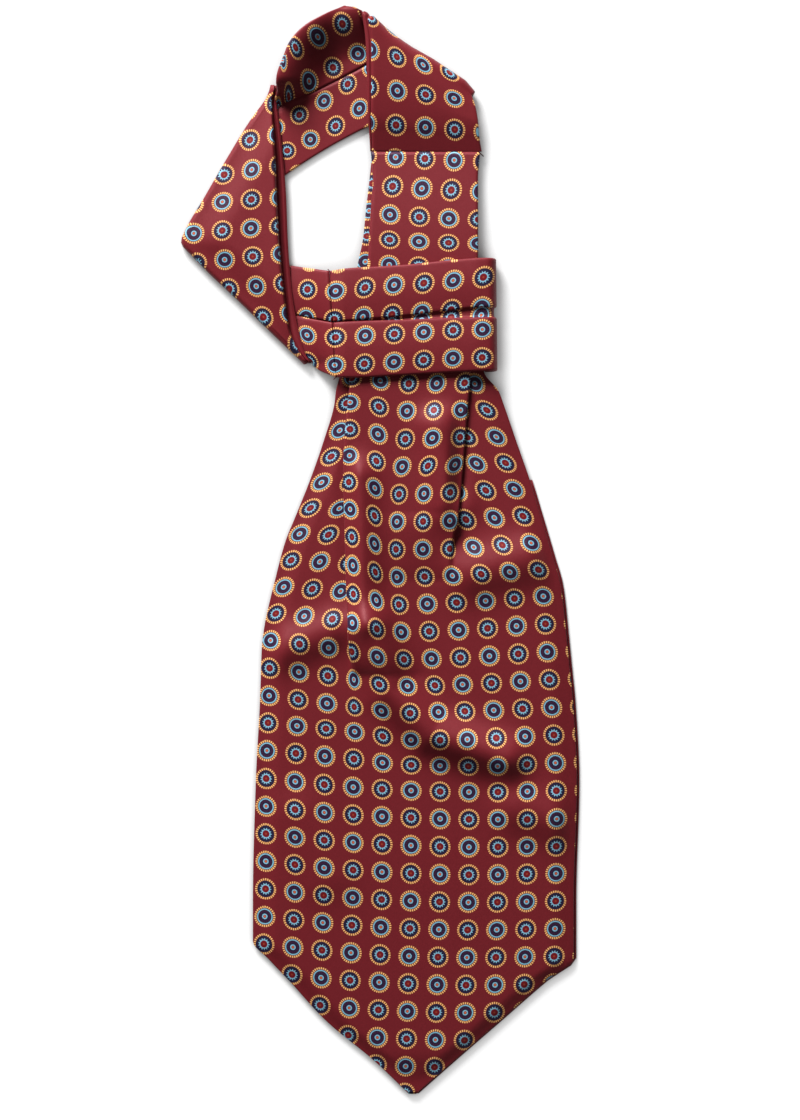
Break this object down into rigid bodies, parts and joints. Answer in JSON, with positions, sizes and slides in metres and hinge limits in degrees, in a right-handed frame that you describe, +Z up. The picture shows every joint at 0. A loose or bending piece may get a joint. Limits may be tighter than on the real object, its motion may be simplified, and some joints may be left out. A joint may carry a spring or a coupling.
{
  "type": "silk cravat",
  "caption": "Pleated silk cravat with pointed blades, its neckband looped, crossed over the front blade and laid flat",
  "frame": {"origin": "centre of the bounding box, on the surface that the cravat lies on", "axes": "+X to the right in the picture, +Y from the blade's point towards the neckband, +Z up"},
  "size_m": [0.1916, 0.5196, 0.0141],
  "materials": {
    "silk": "dark red silk twill with a soft shine, printed with rows of small round medallions"
  },
  "bodies": {
    "root": {"front_blade": "silk", "front_blade_back": "silk", "rear_blade": "silk", "neckband_right": "silk", "neckband_back": "silk", "neckband_left": "silk", "neckband_cross": "silk", "rear_blade_neck": "silk"}
  },
  "joints": []
}
